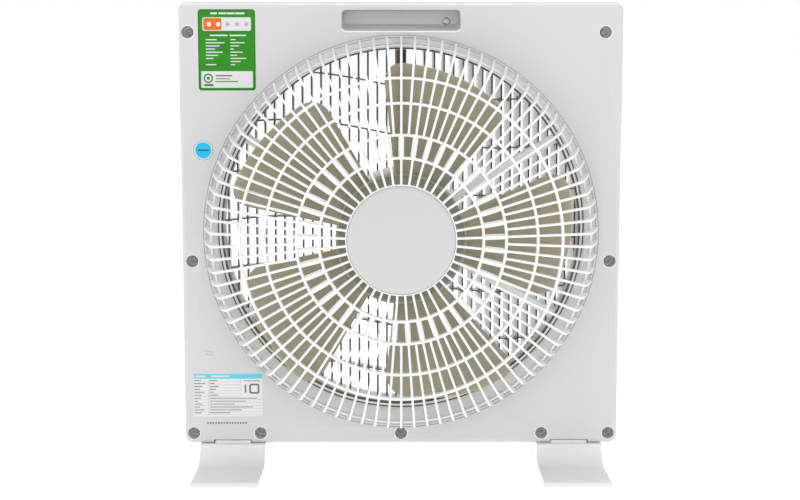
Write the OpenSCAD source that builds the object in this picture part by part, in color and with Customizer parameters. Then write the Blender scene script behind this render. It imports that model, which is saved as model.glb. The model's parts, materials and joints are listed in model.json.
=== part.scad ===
// Box fan on two feet, with a domed rear guard and a rotating front louver.
// The front (air outlet) faces -Y, the rear guard faces +Y and +Z is up.
// The origin is on the floor under the middle of the case. Sizes are in millimetres.

/* [Case] */
// Width of the case
case_w = 437; // [430:1:450]
// Height of the case
case_h = 442.5; // [436:0.5:456]
// Radius of the case's corners
case_r = 8; // [4:1:10]
// Thickness of the moulded walls
wall = 2.5; // [2:0.5:3]
// Height of the fan's axis above the floor
axis_z = 237.5; // [235:0.5:240]
// Y of the case's front face
front_y = -50; // [-54:1:-50]
// Y of the rear panel
rear_y = 50; // [50:1:52]
// Depth of the rear cover's skirt, from the panel to the seam
skirt_d = 16; // [14:1:18]

/* [Rear guard] */
// Number of spokes in the guard's outer half
spokes = 90; // [60:2:96]
// Width of a spoke
spoke_w = 2.3; // [1.8:0.1:2.6]
// Width of the wide ribs next to the hub
rib_w = 5; // [3:0.5:6]
// Radii of the guard's rings, from the hub outwards
ring_r = [78.9, 100.7, 130.9, 154.7]; // [70:0.1:170]
// Width of a ring
ring_w = 2.6; // [2:0.1:3]
// Radius of the guard's foot
guard_r = 196.5; // [195:0.5:197]
// Height of the guard's flat face above the panel
guard_h = 51; // [50:1:54]
// Radius of the plain cap at the guard's centre
cap_r = 52.3; // [48:0.1:52.5]

/* [Rotor] */
// Number of blades
blades = 5; // [3:1:6]
// Angle that a blade covers
blade_sweep = 48; // [36:1:50]
// Mean radius of the blade tips
tip_r = 165.5; // [155:0.5:167]
// Outer radius of the rotor's hub at its rear rim
hub_r = 64; // [62:0.5:66]
// Thickness of a blade
blade_t = 2; // [1.5:0.1:2.5]

/* [Louver] */
// Outer radius of the rotating louver
louver_r = 190; // [186:0.5:190]
// Distance between two slats
slat_pitch = 9.85; // [9:0.05:14]
// Depth of a slat
slat_d = 14; // [10:1:15]
// Thickness of a slat
slat_t = 2; // [1.6:0.1:2.4]
// Tilt of the outermost slats on the tilted side
slat_tilt = 22; // [0:1:24]
// Distance between two cross ribs
cross_pitch = 51; // [44:1:60]

/* [Controls] */
// Radius of the two knobs
knob_r = 19; // [15:1:20]
// Height of a knob
knob_h = 14; // [10:1:18]
// Places of the timer knob, the speed knob and the louver button in X and Z
controls = [[-186, 400], [-140, 436], [-178, 436]]; // [-200:1:450]

/* [Feet] */
// Distance of a foot's middle from the fan's middle
foot_x = 170; // [165:1:172]
// Height of a foot
foot_h = 24; // [22:1:26]
// Width of a foot
foot_w = 66; // [60:1:70]
// Distance of a toe's end from the middle plane
toe_y = 115; // [105:1:130]
// Thickness of a toe
toe_t = 5; // [4:0.5:7]

/* [Hidden] */
$fn = 96;

white = [0.93, 0.94, 0.94];
bright = [0.96, 0.97, 0.97];
khaki = [0.66, 0.63, 0.53];
steel = [0.6, 0.61, 0.63];
dark = [0.15, 0.13, 0.11];
copper = [0.72, 0.42, 0.2];

case_z = foot_h + case_h / 2;           // middle height of the case
seam_y = rear_y - skirt_d;              // seam between front case and rear cover
guard_y = rear_y + guard_h;             // rear face of the guard
rib_d = 6;                              // depth of the guard's face ribs
hub_plate_y = guard_y - rib_d + 0.5;    // rear face of the plate that carries the motor
hub_plate_t = 2.5;
hub_ring_r = cap_r + 1.3;               // outside of the guard's ring round the cap
shoulder = 9;                           // radius of the guard's shoulder
skirt_ring_r = 184.5;                   // inner radius of the ring half way up the guard's side
skirt_ring_y = rear_y + 17;
seat_gap = 0.1;                         // gap round a part that is let into another
seat_r = guard_r + seat_gap;            // edge of the seat that the guard's foot lies in
screw_r = 1.75;                         // shank radius of the self-tapping screws
pilot_r = 1.8;                          // pilot hole of those screws
head_r = 3.6;                           // their head
head_h = 2.4;
well_r = 6.35;                          // bore of a screw well in the rear panel
boss_r = 5;                             // screw boss

// Rear cover: ledge for the guard, sloped dish and collar
ledge_r = 194.5;
flange_r = 201;                         // outer edge of the ring that stiffens the ledge
dish_r = 189.5;
dish_y = 25;
collar_y = 1;
collar_r = dish_r + 2.2;                // outside of the collar

// Front duct, louver track and spider
track_r = 184.3;                        // inner radius of the dark track ring
track_y = [-3, 1];
spider_y = [-24, -3];
spider_r = 192.6;                       // outside of the spider's ring
duct_r = 191.2;
duct_wall_r = spider_r + 2.7;           // outside of the duct's wall
arm_w = 8.4;
arms = 6;
housing_r = 63;

// Louver
louver_y = [-46, -28];
louver_hub_r = 58;
slat_mid_y = -37;
louver_shaft_r = 3;
louver_cap_r = 54.5;
wave_h = 15;                            // height, length and crest of the cross ribs' wave
wave_w = 452;
wave_x = 124;

// Handle recess in the rear panel
recess = [116.5, 20.5];                 // width and height
recess_z = 448.2;
recess_d = 14;
handle_screw_x = -45;

// Motor
shaft_r = 4;
run_gap = 0.05;                         // radial play of every running fit
stator_r = 45;
bell_r = 47;
core_r = 23.5;
stack_y = [60, 76];
motor_y = [50, 92];
bush_r = 8;
motor_screw_ring = 38;
lead_w = 2.2;                           // width and thickness of the motor's flat lead

// Screw wells in X and Z: five along the bottom, two half way up and two at the top
wells = [[-209.3, 34.5], [-142, 34.5], [0, 34.4], [142, 34.5], [209.3, 34.5],
    [-208.3, 210], [208.3, 210], [-201, 437], [209.5, 437]];

foot_screw_x = 25;                      // foot screws, from the foot's middle outwards
foot_screw_y = [-22, 22];
tab_w = 36;
tab_h = 3.5;
gland_at = [100, -10];

// ---------- helpers ----------

// Points along an arc
function arc(c, r, a0, a1, n = 8) =
    [for (i = [0:n]) c + r * [cos(a0 + (a1 - a0) * i / n), sin(a0 + (a1 - a0) * i / n)]];

// Extrudes an outline drawn in X and Z, from y1 back to y0
module slab(y0, y1) translate([0, y1, 0]) rotate([90, 0, 0]) linear_extrude(y1 - y0) children();

// Turns a profile drawn as radius and Y round the fan's axis
module turned() translate([0, 0, axis_z]) rotate([-90, 0, 0]) rotate_extrude() children();

// Moves an outline to the fan's axis
module at_axis() translate([0, axis_z]) children();

// A cylinder along Y, from y0 to y1, at a place in X and Z
module rod(p, r, y0, y1) translate([p[0], y1, p[1]]) rotate([90, 0, 0]) cylinder(r = r, h = y1 - y0);

module ring(r_out, r_in) difference() {
    circle(r_out);
    circle(r_in);
}

module round_rect(w, h, r) polygon(concat(
    arc([w / 2 - r, h / 2 - r], r, 0, 90), arc([r - w / 2, h / 2 - r], r, 90, 180),
    arc([r - w / 2, r - h / 2], r, 180, 270), arc([w / 2 - r, r - h / 2], r, 270, 360)));

module case_outline(inset = 0) translate([0, case_z])
    round_rect(case_w - 2 * inset, case_h - 2 * inset, max(case_r - inset, 1));

// A pan-head screw whose head sits on y and whose shank runs length towards the front
module screw(p, y, length, r = screw_r, head = head_r) difference() {
    union() {
        rod(p, head, y, y + head_h);
        rod(p, r, y - length, y + 0.5);
    }
    for (a = [0, 90])
        translate([p[0], y + head_h, p[1]]) rotate([0, a, 0]) cube([head * 1.2, 2.4, 0.9], center = true);
}

// ---------- case ----------

module foot_slots(z1) for (side = [-1, 1])
    translate([side * foot_x - tab_w / 2 - 0.5, -41, foot_h - 1]) cube([tab_w + 1, 100, z1]);

module front_case() color(white) difference() {
    union() {
        slab(front_y, seam_y) difference() {
            case_outline();
            case_outline(wall);
        }
        slab(front_y, front_y + wall) difference() {
            case_outline(wall / 2);
            at_axis() circle(duct_r);
        }
        slab(front_y + 1, spider_y[0]) at_axis() ring(duct_wall_r, duct_r);
        slab(spider_y[0] - 1, track_y[0]) at_axis() ring(duct_wall_r, spider_r + seat_gap);
        for (w = wells) rod(w, boss_r, front_y + 1, seam_y);
        for (side = [-1, 1], y = foot_screw_y)
            translate([side * (foot_x + foot_screw_x), y, foot_h + 1]) cylinder(r = 4.5, h = 14);
    }
    for (w = wells) rod(w, pilot_r, seam_y - 20, seam_y + 1);
    for (side = [-1, 1], y = foot_screw_y)
        translate([side * (foot_x + foot_screw_x), y, foot_h - 1]) cylinder(r = pilot_r, h = 14);
    foot_slots(5);
    for (i = [0, 1]) rod(controls[i], 5.2, front_y - 1, front_y + wall + 1);
    rod(controls[2], 7, front_y - 1, front_y + wall + 1);
    translate([gland_at[0], gland_at[1], foot_h - 1]) cylinder(r = 7, h = wall + 2);
}

module rear_cover() color(white) difference() {
    union() {
        slab(seam_y, rear_y) difference() {
            case_outline();
            case_outline(wall);
        }
        slab(rear_y - wall, rear_y) difference() {
            case_outline(wall / 2);
            at_axis() circle(seat_r);
        }
        turned() polygon([[flange_r, rear_y - 1], [seat_r, rear_y - 1], [seat_r, rear_y - wall],
            [ledge_r, rear_y - wall], [dish_r, dish_y], [dish_r, collar_y], [collar_r, collar_y],
            [collar_r, dish_y - 0.5], [ledge_r + 2.3, rear_y - wall - 2.2],
            [flange_r, rear_y - wall - 2.2]]);
        for (w = wells) rod(w, well_r + 1.9, seam_y, rear_y - 1);
        slab(rear_y - recess_d - 2, rear_y - 1) translate([0, recess_z])
            round_rect(recess[0] + 4, recess[1] + 4, 5);
    }
    for (w = wells) {
        rod(w, well_r, seam_y + 2, rear_y + 1);
        rod(w, screw_r + 0.3, seam_y - 1, seam_y + 3);
    }
    slab(rear_y - recess_d, rear_y + 1) translate([0, recess_z]) round_rect(recess[0], recess[1], 4);
    rod([handle_screw_x, recess_z], screw_r + 0.3, rear_y - recess_d - 3, rear_y - recess_d + 1);
    slab(rear_y - wall, rear_y + 1) at_axis() circle(seat_r);
    foot_slots(5);
}

// ---------- rear guard ----------

// The guard's outline in radius and Y, from its foot to its hub and back along the inside
guard_outer = concat([[guard_r, rear_y - wall]],
    [[guard_r, rear_y]], arc([176, guard_y - shoulder], shoulder, 15, 90, 6));
guard_inner = concat(arc([172, guard_y - rib_d - 7], 7, 90, 15, 5), [[188.5, rear_y]]);

// The same points moved inwards by the thickness of the lead
function guard_inner_back(i) = [guard_inner[i][1] - lead_w, guard_inner[i][0] - lead_w];

module spoke_fan(n, w, r0, r1, start) for (i = [0:n - 1])
    rotate(start + i * 360 / n) translate([r0, -w / 2]) square([r1 - r0, w]);

module rear_guard() color(bright) union() {
    intersection() {
        slab(rear_y - wall, guard_y) at_axis() union() {
            for (r = ring_r) ring(r + ring_w / 2, r - ring_w / 2);
            ring(hub_ring_r, cap_r + 0.3);
            spoke_fan(spokes, spoke_w, ring_r[1], guard_r, 90);
            spoke_fan(spokes / 2, rib_w, ring_r[0], ring_r[1], 90);
            spoke_fan(spokes / 2, spoke_w, cap_r + 0.8, ring_r[0], 90);
        }
        turned() polygon(concat(guard_outer, [[40, guard_y], [40, guard_y - rib_d]], guard_inner,
            [[188.5, rear_y - wall]]));
    }
    turned() polygon([[guard_r, rear_y - wall], [guard_r, rear_y], [guard_r - 1.4, rear_y],
        [guard_r - 2.8, rear_y - wall]]);
    turned() polygon([[skirt_ring_r, skirt_ring_y], [skirt_ring_r + ring_w, skirt_ring_y],
        [skirt_ring_r + ring_w, skirt_ring_y + 4], [skirt_ring_r, skirt_ring_y + 4]]);
    difference() {
        slab(hub_plate_y - hub_plate_t, hub_plate_y) at_axis() circle(hub_ring_r);
        for (i = [0:3]) rotate_about_axis(45 + 90 * i) rod([motor_screw_ring, 0], 2.1, 80, 110);
        rod([0, axis_z], 12, 80, 110);
    }
}

module rotate_about_axis(a) translate([0, 0, axis_z]) rotate([0, a, 0]) children();

module guard_cap() color(white) turned() difference() {
    polygon(concat([[0, hub_plate_y], [cap_r, hub_plate_y]],
        arc([cap_r - 4, guard_y - 2], 4, 0, 75, 5), [[0, guard_y + 3]]));
    polygon([[0, hub_plate_y - 1], [cap_r - 2, hub_plate_y - 1], [cap_r - 2, guard_y - 2],
        [cap_r - 5, guard_y], [0, guard_y + 1]]);
}

// ---------- motor ----------

module motor_bracket() color(steel) difference() {
    slab(motor_y[1], motor_y[1] + 1) at_axis() circle(44);
    for (i = [0:3]) rotate_about_axis(45 + 90 * i) rod([motor_screw_ring, 0], 2.1, 80, 110);
    rod([0, axis_z], 12, 80, 110);
}

// A motor end bell: a cup whose plate is at y_plate and whose rim is at y_rim, with a bush seat
module bell(y_plate, y_rim, seat_l) {
    s = sign(y_rim - y_plate);
    turned() polygon([[bush_r, y_plate], [bell_r, y_plate], [bell_r, y_rim], [stator_r, y_rim],
        [stator_r, y_plate + s * 2.5], [bush_r + 3, y_plate + s * 2.5], [bush_r + 3, y_plate + s * seat_l],
        [bush_r, y_plate + s * seat_l]]);
}

module motor_rear_bell() color(steel) difference() {
    bell(motor_y[1], 71, 12);
    for (i = [0:3]) rotate_about_axis(45 + 90 * i) rod([motor_screw_ring, 0], 2.05, 80, 110);
}

module motor_front_bell() color(steel) bell(motor_y[0], 65, 8);

module motor_stator() color([0.45, 0.45, 0.47]) slab(stack_y[0], stack_y[1]) at_axis() difference() {
    ring(stator_r, core_r + 0.5);
    for (i = [0:15]) rotate(i * 22.5) translate([32, 0]) circle(3.4, $fn = 6);
}

module motor_windings() color(copper) turned() {
    polygon([[27, stack_y[1]], [42, stack_y[1]], [41, stack_y[1] + 8], [29, stack_y[1] + 8]]);
    polygon([[27, stack_y[0]], [42, stack_y[0]], [41, stack_y[0] - 6], [29, stack_y[0] - 6]]);
}

module bush(y0, y1) turned() polygon([[shaft_r + run_gap, y0], [bush_r, y0], [bush_r, y1],
    [shaft_r + run_gap, y1]]);

module rear_bearing() color([0.75, 0.6, 0.35]) bush(motor_y[1] - 12, motor_y[1] - 1);

module front_bearing() color([0.75, 0.6, 0.35]) bush(motor_y[0] + 0.5, motor_y[0] + 8);

module motor_core() color([0.55, 0.55, 0.58]) slab(stack_y[0], stack_y[1]) at_axis() ring(core_r, shaft_r);

module motor_shaft() color([0.75, 0.76, 0.78]) difference() {
    rod([0, axis_z], shaft_r, 26, motor_y[1] - 2);
    translate([0, 47, axis_z]) rotate([0, 90, 0]) cylinder(r = 1.5, h = 30, center = true);
}

module drive_pin() color([0.75, 0.76, 0.78]) translate([0, 47, axis_z]) rotate([0, 90, 0])
    cylinder(r = 1.5, h = 17, center = true);

module motor_screws() color(steel) for (i = [0:3])
    rotate_about_axis(45 + 90 * i) screw([motor_screw_ring, 0], hub_plate_y, 9, 2, 4);

// The motor's lead runs along the inside of the guard's top spoke; its outline is in Y and radius
module motor_lead() color(dark) translate([-lead_w / 2, 0, axis_z]) rotate([90, 0, 90])
    linear_extrude(lead_w) polygon(concat(
        [[motor_y[1] - 1, bell_r + 0.1], [motor_y[1] + 0.9, bell_r + 0.1],
            [motor_y[1] + 0.9, hub_ring_r + 0.4], [guard_y - rib_d - 0.2, hub_ring_r + 0.7]],
        [for (p = guard_inner) [p[1] - 0.3, p[0] - 0.3]],
        [for (i = [len(guard_inner) - 1:-1:0]) guard_inner_back(i)],
        [[motor_y[1] - 1, hub_ring_r + 2]]));

module run_capacitor() color([0.2, 0.2, 0.22]) translate([168, front_y + wall, 56]) cube([34, 20, 26]);

// ---------- rotor ----------

blade_edge_y = [58, 90];                // Y of a blade's trailing and leading edge
camber_r = 150;                         // radius of a blade's camber
half_chord = 50;

module blade() {
    pitch = atan2(blade_edge_y[1] - blade_edge_y[0], 2 * half_chord);
    half_span = half_chord / cos(pitch);
    drop = sqrt(camber_r * camber_r - half_span * half_span);
    mid_y = (blade_edge_y[0] + blade_edge_y[1]) / 2;
    intersection() {
        translate([0, 0, mid_y - 25]) linear_extrude(50) difference() {
            intersection() {
                translate([0, 13.5]) circle(tip_r);
                polygon([[0, 0], 240 * [cos(blade_sweep / 2), -sin(blade_sweep / 2)],
                    240 * [cos(blade_sweep / 2), sin(blade_sweep / 2)]]);
            }
            circle(hub_r - 1.2);
        }
        translate([0, drop * sin(pitch), mid_y - drop * cos(pitch)]) rotate([0, 90, 0]) difference() {
            cylinder(r = camber_r + blade_t / 2, h = 200);
            translate([0, 0, -1]) cylinder(r = camber_r - blade_t / 2, h = 202);
        }
    }
}

module fan_rotor() color(khaki) difference() {
    union() {
        turned() polygon([[shaft_r, 34], [9.5, 34], [9.5, 42], [54, 42], [60, 46], [hub_r - 1, 60],
            [hub_r, 88], [hub_r - 2.2, 88], [hub_r - 3.2, 60], [58.4, 48], [53.4, 44.4], [9.5, 44.4],
            [9.5, 49.2], [shaft_r, 49.2]]);
        translate([0, 0, axis_z]) rotate([-90, 0, 0])
            for (i = [0:blades - 1]) rotate(36 + i * 360 / blades) blade();
    }
    translate([-10, 45.4, axis_z - 1.6]) cube([20, 5, 3.2]);
}

module rotor_nut() color([0.3, 0.3, 0.32]) slab(24, 34) at_axis() difference() {
    union() {
        circle(12.5);
        for (i = [0:5]) rotate(i * 60) translate([11, 0]) circle(4);
    }
    circle(shaft_r);
}

// ---------- spider, track and louver ----------

module front_spider() color(white) union() {
    slab(spider_y[0], spider_y[1]) at_axis() union() {
        ring(spider_r, spider_r - 3.3);
        ring(housing_r, housing_r - 2.5);
        for (i = [0:arms - 1]) rotate(30 + i * 360 / arms) translate([housing_r - 2, -arm_w / 2])
            square([spider_r - housing_r - 0.3, arm_w]);
    }
    slab(spider_y[1] - 2, spider_y[1] + 2) at_axis() circle(housing_r - 1);
}

module louver_track() color(dark) slab(track_y[0], track_y[1]) at_axis() ring(collar_r, track_r);

module louver_motor() color([0.8, 0.8, 0.78]) difference() {
    union() {
        slab(-19, spider_y[1] - 2) at_axis() circle(25);
        slab(-23, -18.5) at_axis() circle(7);
    }
    rod([0, axis_z], louver_shaft_r + run_gap, -24, -10);
}

module louver_shaft() color(steel) rod([0, axis_z], louver_shaft_r, louver_y[0] + 2.5, -11);

module louver_lead(x) translate([x, spider_y[1] + 2.05, axis_z + housing_r])
    cylinder(r = 2, h = track_r - housing_r - 0.5);

module louver_lead_brown() color([0.3, 0.2, 0.12]) louver_lead(2.5);

module louver_lead_black() color([0.08, 0.08, 0.08]) louver_lead(-2.5);

// Tilt of the slat at x: none on one half, rising to the full tilt on the other half
function tilt_at(x) = x > -8 ? 0 : min(1, (-8 - x) / 80) * slat_tilt;

module slats() for (i = [-19:18]) let (x = (i + 0.5) * slat_pitch)
    translate([x, slat_mid_y, axis_z]) rotate([0, 0, tilt_at(x)])
        cube([slat_t, slat_d, 2 * louver_r], center = true);

// The cross ribs follow a shallow wave, so that the louver looks like rippled water
function wave_at(x) = wave_h * cos(360 * (x - wave_x) / wave_w) - 6;

module cross_ribs() slab(slat_mid_y - slat_d / 2 + 2, slat_mid_y + slat_d / 2 - 2)
    for (k = [-3:3]) translate([0, axis_z + k * cross_pitch]) polygon(concat(
        [for (i = [-13:13]) [i * 15, wave_at(i * 15) + 0.9]],
        [for (i = [13:-1:-13]) [i * 15, wave_at(i * 15) - 0.9]]));

module louver_disc() color(white) difference() {
    union() {
        slab(louver_y[0], louver_y[1]) at_axis() union() {
            ring(louver_r, louver_r - 3.5);
            ring(louver_hub_r, louver_hub_r - 2.5);
        }
        intersection() {
            union() {
                slats();
                cross_ribs();
            }
            slab(louver_y[0] - 5, louver_y[1] + 5) at_axis() ring(louver_r - 2, louver_hub_r - 1);
        }
        slab(louver_y[0] + 2.5, louver_y[0] + 5) at_axis() circle(louver_hub_r - 1);
        slab(louver_y[0] + 2.5, -30) at_axis() circle(8);
    }
    rod([0, axis_z], louver_shaft_r, -60, 0);
}

module louver_cap() color([0.82, 0.83, 0.84]) turned() polygon(concat(
    [[louver_cap_r, louver_y[0] + 2.5]],
    arc([louver_cap_r - 3.5, louver_y[0] + 0.5], 3.5, 0, -80, 4),
    [[0, louver_y[0] - 3.6], [0, louver_y[0] - 1.4], [louver_cap_r - 4, louver_y[0] - 0.8],
        [louver_cap_r - 2, louver_y[0] + 0.5], [louver_cap_r - 2, louver_y[0] + 2.5]]));

// ---------- controls ----------

module knob(p) {
    difference() {
        rod(p, knob_r, front_y - 2 - knob_h, front_y - 2);
        for (i = [0:17]) translate([p[0], front_y - 2 - knob_h, p[1]]) rotate([0, i * 20 + 10, 0])
            translate([knob_r + 1, knob_h / 2 - 3, 0]) rotate([90, 0, 0])
                cylinder(r = 2, h = knob_h - 2, center = true);
    }
    translate([p[0] - 1.2, front_y - 3.2 - knob_h, p[1]]) cube([2.4, 1.5, knob_r - 4]);
    rod(p, 3, front_y - 3, front_y + 12);
}

// A rotary control's body, with the bush that the knob's stem turns in
module rotary_body(p, w, d) difference() {
    union() {
        translate([p[0] - w / 2, front_y + wall, p[1] - w / 2]) cube([w, d, w]);
        rod(p, 5, front_y - 1.4, front_y + wall + 1);
    }
    rod(p, 3 + run_gap, front_y - 2, front_y + 13);
}

module timer_knob() color([0.78, 0.8, 0.82]) knob(controls[0]);

module timer_body() color([0.85, 0.85, 0.8]) rotary_body(controls[0], 36, 24);

module speed_knob() color([0.78, 0.8, 0.82]) knob(controls[1]);

module speed_switch() color([0.3, 0.3, 0.32]) rotary_body(controls[1], 30, 20);

module louver_button() color([0.7, 0.73, 0.76]) {
    rod(controls[2], 6.5, front_y - 6, front_y + 5);
    rod(controls[2], 3, front_y + 4.5, front_y + 14);
}

module louver_switch() color([0.3, 0.3, 0.32]) difference() {
    translate([controls[2][0] - 7, front_y + 9, controls[2][1] - 7]) cube([14, 16, 14]);
    rod(controls[2], 3 + run_gap, front_y + 8, front_y + 18);
}

module control_panel() color([0.75, 0.78, 0.8]) slab(front_y - 1, front_y) difference() {
    hull() for (c = controls) translate(c) circle(knob_r + 5);
    for (i = [0, 1]) translate(controls[i]) circle(5.2);
    translate(controls[2]) circle(7);
}

// ---------- feet ----------

module foot_profile() union() {
    translate([-toe_y, 0]) square([2 * toe_y, toe_t]);
    translate([-53, 0]) square([106, foot_h]);
    for (side = [0, 1]) mirror([side, 0]) difference() {
        translate([52, toe_t - 1]) square([foot_h - toe_t + 1, foot_h - toe_t + 1]);
        translate([53 + foot_h - toe_t, foot_h]) circle(foot_h - toe_t);
    }
}

module foot(x) translate([x, 0, 0]) {
    out = sign(x);
    difference() {
        union() {
            difference() {
                translate([-foot_w / 2, 0, 0]) rotate([90, 0, 90]) linear_extrude(foot_w) foot_profile();
                for (sx = [-1, 1], y = [-34, 0, 34])
                    translate([sx * 15.5, y, 9]) cube([26, 29, 20], center = true);
            }
            for (y = foot_screw_y) translate([out * foot_screw_x, y, 0]) cylinder(r = 7, h = foot_h);
        }
        for (y = foot_screw_y) translate([out * foot_screw_x, y, -1]) {
            cylinder(r = screw_r + 0.3, h = foot_h + 2);
            cylinder(r = 4.2, h = 15);
        }
    }
    translate([-tab_w / 2, -40, foot_h - 1]) cube([tab_w, 40 + rear_y, tab_h + 1]);
}

module foot_left() color(white) foot(-foot_x);

module foot_right() color(white) foot(foot_x);

module foot_screws() color(steel) for (side = [-1, 1], y = foot_screw_y)
    translate([side * (foot_x + foot_screw_x), y, 14 - head_h]) {
        cylinder(r = head_r, h = head_h);
        cylinder(r = screw_r, h = 22);
    }

// ---------- fasteners, labels and the cord outlet ----------

module case_screws() color(steel) for (w = wells) screw(w, seam_y + 2, 18);

module handle_screw() color(steel) screw([handle_screw_x, recess_z], rear_y - recess_d, 12);

module label(x0, x1, z0, z1) slab(rear_y, rear_y + 0.4) translate([(x0 + x1) / 2, (z0 + z1) / 2])
    round_rect(x1 - x0, z1 - z0, 1.5);

module energy_label() color([0.15, 0.5, 0.2]) label(143, 199, 380, 459);

module rating_label() color([0.92, 0.93, 0.93]) label(139.5, 209, 52, 96);

module round_sticker() color([0.2, 0.55, 0.75]) slab(rear_y, rear_y + 0.4) translate([195.5, 321]) circle(11);

module cord_gland() color([0.85, 0.85, 0.85]) translate([gland_at[0], gland_at[1], 0]) difference() {
    union() {
        translate([0, 0, foot_h - 3]) cylinder(r = 9.5, h = 3);
        translate([0, 0, foot_h - 1]) cylinder(r = 6.9, h = wall + 2);
        translate([0, 0, foot_h + wall]) cylinder(r = 8.5, h = 3);
    }
    translate([0, 0, foot_h - 4]) cylinder(r = 3.9, h = 20);
}

front_case();
rear_cover();
rear_guard();
guard_cap();
motor_bracket();
motor_rear_bell();
motor_front_bell();
motor_stator();
motor_windings();
rear_bearing();
front_bearing();
motor_core();
motor_shaft();
motor_screws();
motor_lead();
run_capacitor();
fan_rotor();
drive_pin();
rotor_nut();
front_spider();
louver_track();
louver_motor();
louver_shaft();
louver_disc();
louver_cap();
louver_lead_brown();
louver_lead_black();
timer_knob();
timer_body();
speed_knob();
speed_switch();
louver_button();
louver_switch();
control_panel();
foot_left();
foot_right();
foot_screws();
case_screws();
handle_screw();
energy_label();
round_sticker();
rating_label();
cord_gland();
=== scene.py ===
import json
import math

import bmesh
import bpy
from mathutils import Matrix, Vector

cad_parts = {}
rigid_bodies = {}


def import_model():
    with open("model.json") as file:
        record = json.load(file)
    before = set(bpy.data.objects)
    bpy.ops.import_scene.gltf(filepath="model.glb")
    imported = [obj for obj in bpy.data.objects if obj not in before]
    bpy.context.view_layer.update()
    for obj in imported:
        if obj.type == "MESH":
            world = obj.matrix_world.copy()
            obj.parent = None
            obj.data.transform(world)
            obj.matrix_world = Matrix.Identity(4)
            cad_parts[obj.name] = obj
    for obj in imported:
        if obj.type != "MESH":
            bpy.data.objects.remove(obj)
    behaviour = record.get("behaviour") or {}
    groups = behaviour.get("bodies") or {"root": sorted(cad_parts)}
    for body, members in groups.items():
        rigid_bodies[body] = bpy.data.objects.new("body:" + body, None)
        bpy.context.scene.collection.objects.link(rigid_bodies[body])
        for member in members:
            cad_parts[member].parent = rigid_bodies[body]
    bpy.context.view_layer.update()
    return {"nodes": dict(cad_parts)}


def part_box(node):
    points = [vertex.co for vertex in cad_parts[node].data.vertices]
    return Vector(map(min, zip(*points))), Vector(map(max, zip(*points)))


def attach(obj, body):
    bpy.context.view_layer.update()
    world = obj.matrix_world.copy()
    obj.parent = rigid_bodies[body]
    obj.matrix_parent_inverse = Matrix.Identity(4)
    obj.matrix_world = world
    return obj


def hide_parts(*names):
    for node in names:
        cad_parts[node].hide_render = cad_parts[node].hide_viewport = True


for leftover in list(bpy.data.objects):
    bpy.data.objects.remove(leftover)
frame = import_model()

MM = 0.001
UP = 90                 # the angle that points up, seen along Y


# ---------- sizes in millimetres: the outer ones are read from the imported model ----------

def box_mm(node):
    lo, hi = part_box(node)
    return [c / MM for c in lo], [c / MM for c in hi]


case_lo, front_case_hi = box_mm("front_case")
case_hi = box_mm("rear_cover")[1]
guard_lo, guard_hi = box_mm("rear_guard")
FRONT_Y, SEAM_Y, REAR_Y, GUARD_Y = case_lo[1], front_case_hi[1], case_hi[1], guard_hi[1]
CASE_W, CASE_H = case_hi[0] - case_lo[0], case_hi[2] - case_lo[2]
CASE_Z = (case_hi[2] + case_lo[2]) / 2
FOOT_H = case_lo[2]
AXIS_Z = (guard_hi[2] + guard_lo[2]) / 2
GUARD_R = (guard_hi[0] - guard_lo[0]) / 2
CASE_R, WALL = 8.0, 2.5
EDGE_R = 4.5            # rounding of the case's rear and front edges
LIP_D = 0.95            # depth that holds the small roundings of the rear panel's openings

# Guard's seat, dish and collar in the rear cover
SEAT_R = GUARD_R + 0.1
FLANGE_R = 201.0
LEDGE_R, DISH_R, DISH_Y, COLLAR_Y = 194.5, 189.5, 25.0, 1.0
COLLAR_R = DISH_R + 2.2

# Rear guard
RING_R = [78.9, 100.7, 130.9, 154.7]
RING_W, SPOKES, SPOKE_W = 2.6, 90, 2.3
RIB_D = 6.0
FOOT_IN_R = 188.5       # inner radius of a spoke's foot
SKIRT_RING_R, SKIRT_RING_Y = 185.8, REAR_Y + 17
CAP_R = 52.3
HUB_RING_R = CAP_R + 1.3
PLATE_Y, PLATE_T = GUARD_Y - RIB_D + 0.5, 2.5
MOTOR_SCREW_RING = 38.0

# Rotor
HUB_R, TIP_R, BLADES = 64.0, 165.5, 5
HALF_SWEEP = 24.0       # half of the angle that a blade covers
FIRST_BLADE = 36.0      # angle of the first blade's middle
TIP_SHIFT = 13.5        # sideways offset of the tips' circle

# Duct, louver track and spider
TRACK_R, TRACK_Y = 184.3, (-3.0, 1.0)
GROOVE_R = 186.0, 188.1
ARMS, ARM_W, HOUSING_R = 6, 8.4, 63.0
DUCT_R, SPIDER_R = 191.2, 192.6
DUCT_WALL_R = SPIDER_R + 2.7
SPIDER_Y = box_mm("front_spider")[0][1], -3.0

# Louver
LOUVER_R, LOUVER_HUB_R, LOUVER_Y = 190.0, 58.0, (-46.0, -28.0)
SLAT_PITCH, SLAT_D, SLAT_Y, SLAT_TILT = 9.85, 14.0, -37.0, 22.0
SLATS = range(-19, 19)
CROSS_PITCH, CROSS_RIBS = 51.1, range(-3, 4)
WAVE_H, WAVE_W, WAVE_X = 15.0, 452.0, 124.0

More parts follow.
